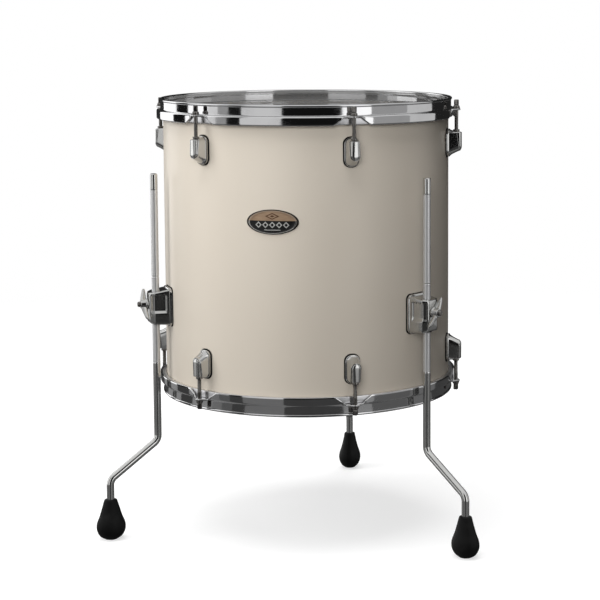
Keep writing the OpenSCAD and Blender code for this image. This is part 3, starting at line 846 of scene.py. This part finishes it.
for side in sides:
    middle = spot("leg_bracket_" + side)[2]
    azimuth, ring = around(spot("leg_sleeve_" + side)[2])
    z, eyeZ = middle[2], spot("leg_eye_" + side)[2][2]
    parts = [(housingGrid(z), False, True), (flangeGrid(z), False, True)]

    def placed(grids):
        return [(turned(grid, azimuth), rows, columns) for grid, rows, columns in grids]

    makePiece("bracket_" + side, placed(parts), finishes["bracket"], "drum",
              ["leg_bracket_" + side], 32)
    makePiece("eyeBolt_" + side, placed(eyeGrids(ring, eyeZ)), finishes["rod"], "drum",
              ["leg_eye_" + side], 40)
    wing = placed(wingGrids(wingSizes["turns"][side], eyeZ))
    makePiece("wingNut_" + side, wing, finishes["bracket"], "wing_" + side,
              ["clamp_wing_" + side], 50)
print("brackets made")

badgeLow, badgeHigh, badgeMiddle = spot("badge")
badgeHalf = ((badgeHigh - badgeLow) / 2)[[0, 2]]


# each ring's share of the full oval, and its height above the lacquer
badgeSizes = {"rings": [[0, 1.0], [0.2, 1.0], [0.4, 1.0], [0.6, 1.0], [0.74, 1.0], [0.83, 1.0],
                        [0.85, 1.3], [0.865, 1.4], [0.885, 1.3], [0.9, 1.15], [0.93, 1.45],
                        [0.965, 1.35], [0.985, 1.0], [1.0, 0.4], [1.0, 0.02], [0, 0.02]],
              "columns": 160}


# An oval plate on the shell in rings of growing size: a flat field, a raised silver line,
# a bezel, and an edge rounded down to the lacquer.
def makeBadge(s=badgeSizes):
    share, rise = np.array(s["rings"]).T
    angle = np.arange(s["columns"]) / s["columns"] * 2 * pi
    x = share[:, None] * badgeHalf[0] * np.cos(angle)
    z = share[:, None] * badgeHalf[1] * np.sin(angle)
    grid = np.stack([x, -np.sqrt((shellRadius + rise[:, None]) ** 2 - x ** 2), badgeMiddle[2] + z], -1)
    finish = enamel(badgeHalf * mm, badgeMiddle[2] * mm)
    makePiece("badgePlate", [(grid, False, True)], finish, "drum", ["badge"], 40)


# radius and distance from the drum's axis at each corner, how far each is rounded, and the radius of the
# black disc painted in the middle as the hole's shade
ventSizes = {"outline": [[0, 202.3], [4.9, 202.3], [5.0, 203.4], [7.0, 204.3], [10.2, 203.3],
                         [11, 202.2], [9, 201.6], [0, 201.6]],
             "rounds": [0, 0.2, 0.6, 1.6, 1.2, 0.4, 0.4, 0], "paintedHoleShade": 4.8}


# The vent: a domed eyelet whose middle is closed, with black rubber painted there as the shade of the hole
def makeVent(s=ventSizes):
    middle = spot("air_vent")[2]
    azimuth, _ = around(middle)
    outline = soften(s["outline"], s["rounds"], 6, closed=False)
    grid = turned(laid(lathe(outline[:, 0], outline[:, 1], 48), middle[2]), azimuth)
    hub = turned([[0, 0, middle[2]]], azimuth)[0]
    way = turned([[1, 0, 0]], azimuth)[0]

    # faces near the vent's axis take black rubber: painted shade standing in for the open hole
    def paintedHoleShade(middles):
        off = middles - hub
        return np.linalg.norm(off - (off @ way)[:, None] * way, axis=1) < s["paintedHoleShade"]

    makePiece("airVent", [(grid, False, True)], [finishes["rod"], finishes["gasket"]], "drum",
              ["air_vent"], pick=paintedHoleShade)


makeBadge()
makeVent()
keptNodes = {"lug_screws": "steel", "bracket_screws": "steel", "air_vent_nut": "steel",
             "bracket_gaskets": "gasket", "leg_sleeve_left": "nylon", "leg_sleeve_right": "nylon",
             "leg_sleeve_rear": "nylon"}
for node, finish in keptNodes.items():
    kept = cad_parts[node]
    kept.data.materials.clear()
    kept.data.materials.append(finishes[finish])
print("badge, vent and small parts made")

studio = {"floorPale": 0.5, "floorGlow": 0.58, "sky": 1.0, "floorFade": (0.9, 2.2), "fill": (0.02, 0.26),
          "overhead": (0.5, 0.85), "overheadBright": 0.9, "below": (0.12, 0.21), "belowBright": 0.07,
          "belowShare": 0.84,
          # azimuth in degrees where each stretch of the surroundings ends, and how bright it is
          "bands": [(-137, 0.03), (-109.5, 1.6), (-92.7, 0.01), (-70.3, 1.6), (-60, 0.9), (-50.5, 0.4),
                    (-39.1, 0.01), (-5.9, 0.80), (39.9, 0.008), (63.7, 1.5), (97.5, 0.42), (128.5, 0.70),
                    (180, 0.02)],
          # each lamp's azimuth, distance, height, size, power, and the height it is aimed at
          "lamps": {"key": (-62, 2.4, 1.7, (1.4, 2.0), 37, 0.35),
                    "front": (6, 3.4, 1.5, (2.0, 1.6), 52, 0.35),
                    "back": (172, 3.0, 1.5, (1.6, 1.6), 24, 0.35),
                    "over": (-40, 0.35, 3.2, (2.6, 2.6), 105, 0.3)},
          "floorRings": [0, 0.4, 0.8, 1.3, 2.0, 3.2, 3.6], "floorColumns": 96}


# The surroundings by azimuth, which chrome mirrors: tall white screens and dark gaps
# between them, dark below and pale overhead. Soft fill comes mostly from the left, and
# what the camera sees directly is plain and pale.
def makeSurroundings(s=studio):
    world = bpy.data.worlds.new("studio")
    scene.world = world
    world.use_nodes = True
    tree = world.node_tree
    way = Wire(tree).node("TexCoord", out="Generated")
    x, y, z = way.axes()
    azimuth = x.maths("ARCTAN2", x, y * -1) / (2 * pi) + 0.5
    stops, last = [], -180
    for end, bright in s["bands"]:
        stops.append(((last + 180) / 360, (bright,) * 3))
        last = end
    bands = azimuth.node("ValToRGB", {"stops": stops, "interpolation": "CONSTANT"}, {0: azimuth})
    mirrored = z.step(*s["overhead"]).blend(bands, (s["overheadBright"],) * 3)
    mirrored = ((z * -1).step(*s["below"]) * s["belowShare"]).blend(mirrored, (s["belowBright"],) * 3)
    fill = x.step(-0.9, 0.9).blend(*((bright,) * 3 for bright in s["fill"][::-1]))
    light = way.node("LightPath", out="Is Glossy Ray").blend(fill, mirrored)
    plain = way.node("LightPath", out="Is Camera Ray").blend(light, (s["sky"],) * 3)
    tree.links.new(plain.socket, tree.nodes["Background"].inputs["Color"])


# The floor is a pale disc, faintly lit from within so that shadows on it stay soft, that
# fades out with distance into the plain surroundings
def makeFloor(s=studio):
    ring = np.array(s["floorRings"])
    grid = lathe(ring, 0 * ring, s["floorColumns"])
    mesh = bpy.data.meshes.new("floor")
    faces = gridFaces(len(ring), s["floorColumns"], False, True)
    mesh.from_pydata(grid.reshape(-1, 3).tolist(), [], faces.tolist())

    def paint(place):
        flat = place.node("VectorMath", {"operation": "LENGTH"}, {0: place}, out=1)
        return {"Alpha": 1 - flat.step(*s["floorFade"])}
    paper = {"Base Color": (s["floorPale"],) * 3, "Roughness": 0.9, "Specular IOR Level": 0.1,
             "Emission Color": (1.0, 1.0, 1.0), "Emission Strength": s["floorGlow"]}
    mesh.materials.append(makeMaterial("floorPaper", paper, paint))
    floor = bpy.data.objects.new("floor", mesh)
    scene.collection.objects.link(floor)
    floor.visible_glossy = floor.visible_diffuse = False


# A soft rectangular light, aimed at a height on the drum's axis
def makeLight(name, azimuth, distance, height, size, power, aim):
    light = bpy.data.lights.new(name, "AREA")
    light.shape, light.size, light.size_y = "RECTANGLE", size[0], size[1]
    light.energy = power
    lamp = bpy.data.objects.new(name, light)
    scene.collection.objects.link(lamp)
    a = math.radians(azimuth)
    lamp.location = (distance * math.sin(a), -distance * math.cos(a), height)
    away = lamp.location.copy()
    away.z -= aim
    lamp.rotation_euler = away.to_track_quat("Z", "Y").to_euler()
    lamp.visible_glossy = lamp.visible_camera = False


# lens and sensor in millimetres, place in metres, turns in degrees
cameraSizes = {"lens": 110.5, "sensor": 36, "shift": (-0.12, -0.15), "place": (0.5913, -2.548, 0.7523),
               "yaw": 11.024, "pitch": -6.603, "roll": -0.182}


def makeCamera(s=cameraSizes):
    view = bpy.data.cameras.new("camera")
    view.lens, view.sensor_width = s["lens"], s["sensor"]
    view.shift_x, view.shift_y = s["shift"]
    view.clip_start, view.clip_end = 0.1, 50
    camera = bpy.data.objects.new("camera", view)
    scene.collection.objects.link(camera)
    camera.location = s["place"]
    camera.rotation_mode = "XYZ"
    yaw, tilt, roll = (math.radians(s[key]) for key in ("yaw", "pitch", "roll"))
    turn = Matrix.Rotation(yaw, 4, "Z") @ Matrix.Rotation(pi / 2 + tilt, 4, "X")
    camera.rotation_euler = (turn @ Matrix.Rotation(roll, 4, "Z")).to_euler()
    scene.camera = camera


makeSurroundings()
makeFloor()
for name, values in studio["lamps"].items():
    makeLight(name, *values)
makeCamera()
scene.view_settings.view_transform = "Standard"
print("studio made")
